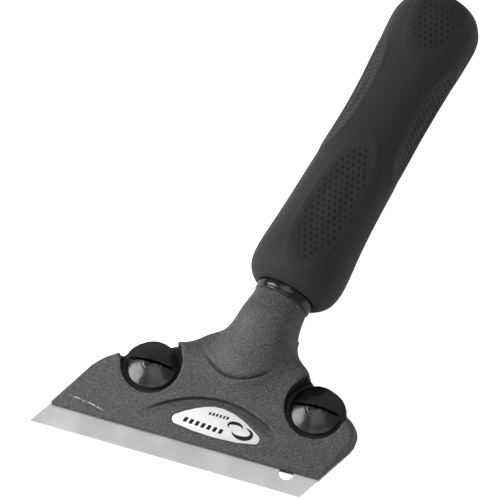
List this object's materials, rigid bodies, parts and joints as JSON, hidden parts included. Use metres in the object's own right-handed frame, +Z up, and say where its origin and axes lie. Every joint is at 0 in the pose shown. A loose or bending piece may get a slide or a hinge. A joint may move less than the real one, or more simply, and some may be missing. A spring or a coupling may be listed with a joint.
{
  "type": "floor scraper",
  "caption": "Short-handled floor scraper: skewed cast head clamping a parallelogram blade under coin-slotted screws, with a waisted dimpled rubber grip.",
  "frame": {"origin": "underside of the clamp plate, midway between the axes of the two clamp screws", "axes": "+X along the cutting edge towards the blade's tail hole, +Y from the cutting edge towards the handle, +Z up out of the labelled face"},
  "size_m": [0.1146, 0.1969, 0.0419],
  "materials": {
    "head_paint": "hammered dark grey enamel over die-cast metal",
    "plate_steel": "blackened steel plate",
    "blade_steel": "satin rolled steel with a ground edge",
    "screw_black": "glossy black nickel",
    "washer_black": "black oxide",
    "insert_brass": "turned brass",
    "ring_steel": "spring steel",
    "label_silver": "silvered film, plain",
    "collar_black": "glossy black",
    "core_nylon": "black filled nylon",
    "fastener_zinc": "zinc plate",
    "tang_steel": "turned steel",
    "grip_rubber": "soft matte black elastomer"
  },
  "bodies": {
    "head": {"head_body": "head_paint", "label_plate": "label_silver", "left_screw_washer": "washer_black", "right_screw_washer": "washer_black", "neck_collar": "collar_black", "tang_rod": "tang_steel", "tang_washer": "fastener_zinc", "tang_nut": "fastener_zinc", "handle_core": "core_nylon", "rubber_grip": "grip_rubber", "end_plug": "core_nylon"},
    "left_screw": {"left_clamp_screw": "screw_black", "left_retaining_ring": "ring_steel"},
    "right_screw": {"right_clamp_screw": "screw_black", "right_retaining_ring": "ring_steel"},
    "jaw": {"clamp_plate": "plate_steel", "left_thread_insert": "insert_brass", "right_thread_insert": "insert_brass"},
    "blade": {"blade": "blade_steel"}
  },
  "joints": [
    {"name": "left_screw_turn", "type": "hinge", "parent": "head", "child": "left_screw", "pos_m": [-0.0305, 0, 0.0057], "axis": [0, 0, 1], "range_deg": [0, 540]},
    {"name": "right_screw_turn", "type": "hinge", "parent": "head", "child": "right_screw", "pos_m": [0.0305, 0, 0.0057], "axis": [0, 0, 1], "range_deg": [0, 540]},
    {"name": "jaw_drop", "type": "slide", "parent": "head", "child": "jaw", "axis": [0, 0, -1], "range_m": [0, 0.0015]},
    {"name": "blade_draw", "type": "slide", "parent": "jaw", "child": "blade", "axis": [0, -1, 0], "range_m": [0, 0.008]}
  ],
  "couplings": [
    {"joint": "left_screw_turn", "follows": "jaw_drop", "rad_per_m": 6283},
    {"joint": "right_screw_turn", "follows": "jaw_drop", "rad_per_m": 6283}
  ]
}
